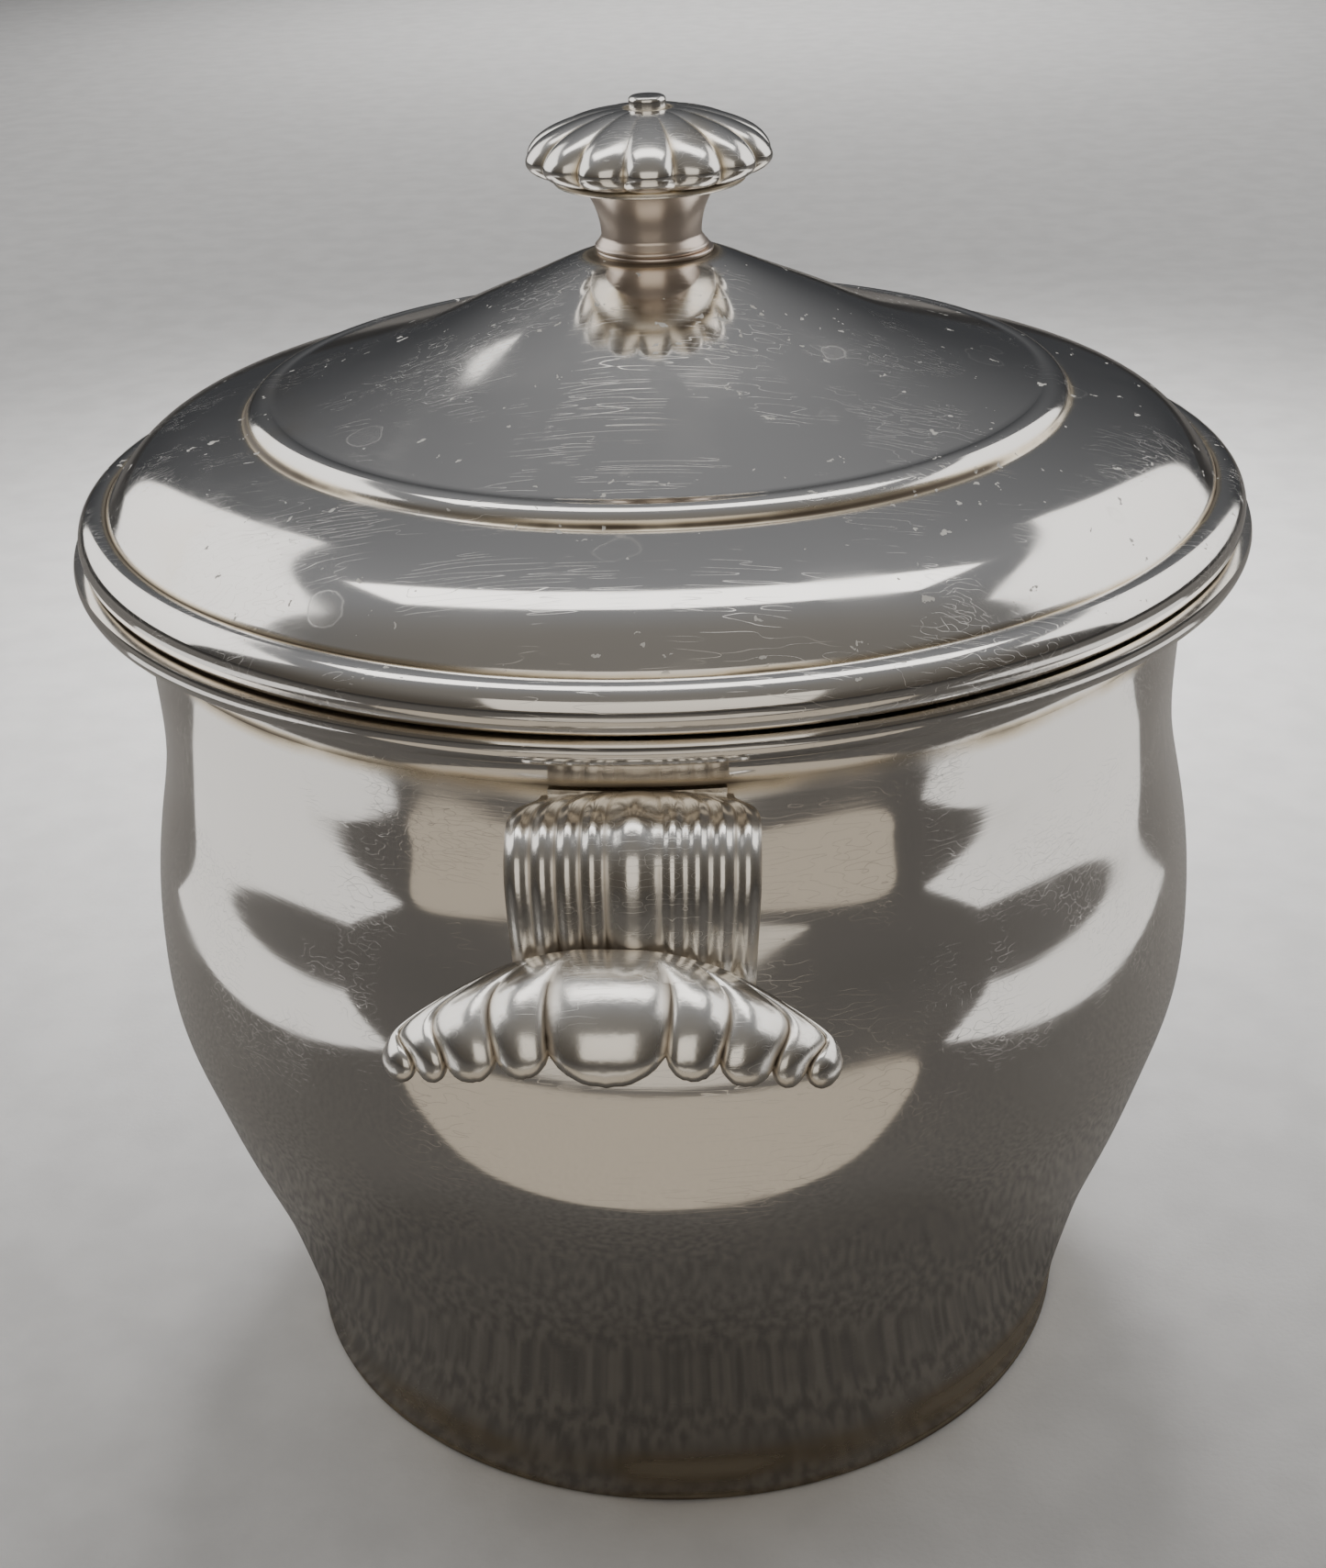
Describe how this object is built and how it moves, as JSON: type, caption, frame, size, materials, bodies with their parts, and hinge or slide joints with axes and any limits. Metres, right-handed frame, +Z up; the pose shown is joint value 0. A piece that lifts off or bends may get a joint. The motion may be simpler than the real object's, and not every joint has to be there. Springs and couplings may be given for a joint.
{
  "type": "lidded ice bucket",
  "caption": "Silver-plated pot-bellied ice bucket with scallop-shell handles, an insulating glass liner and a lift-off domed lid with a melon knob.",
  "frame": {"origin": "on the table plane under the bucket's axis, in the middle of the foot", "axes": "+Z up along the bucket's axis, handles on -Y and +Y, +X to the right of somebody who faces the handle on -Y"},
  "size_m": [0.1884, 0.2414, 0.2154],
  "materials": {
    "silver_plate": "polished silver plate on brass, lightly scratched and tarnished",
    "worn_silver": "polished silver plate worn thin and warm",
    "plated_base": "satin silver plate on brass",
    "steel": "plain steel fastener",
    "silvered_glass": "glass silvered on the vacuum side",
    "spacer_pad": "matt",
    "cushion_rubber": "matt",
    "seal_rubber": "matt translucent white",
    "collar_plastic": "ivory",
    "lid_foam": "foam"
  },
  "bodies": {
    "bucket": {"body_shell": "silver_plate", "rim_moulding": "silver_plate", "handle_pad_front": "silver_plate", "handle_pad_back": "silver_plate", "handle_strap_front": "silver_plate", "handle_strap_back": "silver_plate", "handle_shell_front": "silver_plate", "handle_shell_back": "silver_plate", "base_plate": "plated_base", "flask_seat": "plated_base", "base_screw": "steel", "base_washer": "steel", "base_nut": "steel", "flask_outer": "silvered_glass", "flask_inner": "silvered_glass", "flask_tip": "silvered_glass", "flask_spacers": "spacer_pad", "flask_cushion": "cushion_rubber", "mouth_gasket": "seal_rubber", "mouth_collar": "collar_plastic"},
    "seal": {"lid_seal": "seal_rubber"},
    "lid": {"lid_shell": "silver_plate", "lid_moulding": "silver_plate", "lid_pan": "plated_base", "lid_insulation": "lid_foam", "knob_washer": "worn_silver", "knob_stem": "worn_silver", "knob_flange": "silver_plate", "knob_cap": "silver_plate", "knob_button": "silver_plate", "knob_stud": "steel", "knob_spring_washer": "steel", "knob_nut": "steel"}
  },
  "joints": [
    {"name": "lid_lift", "type": "slide", "parent": "bucket", "child": "seal", "axis": [0, 0, 1], "range_m": [0, 0.15]},
    {"name": "lid_turn", "type": "hinge", "parent": "seal", "child": "lid", "pos_m": [0, 0, 0.152], "axis": [0, 0, 1], "continuous": true}
  ]
}
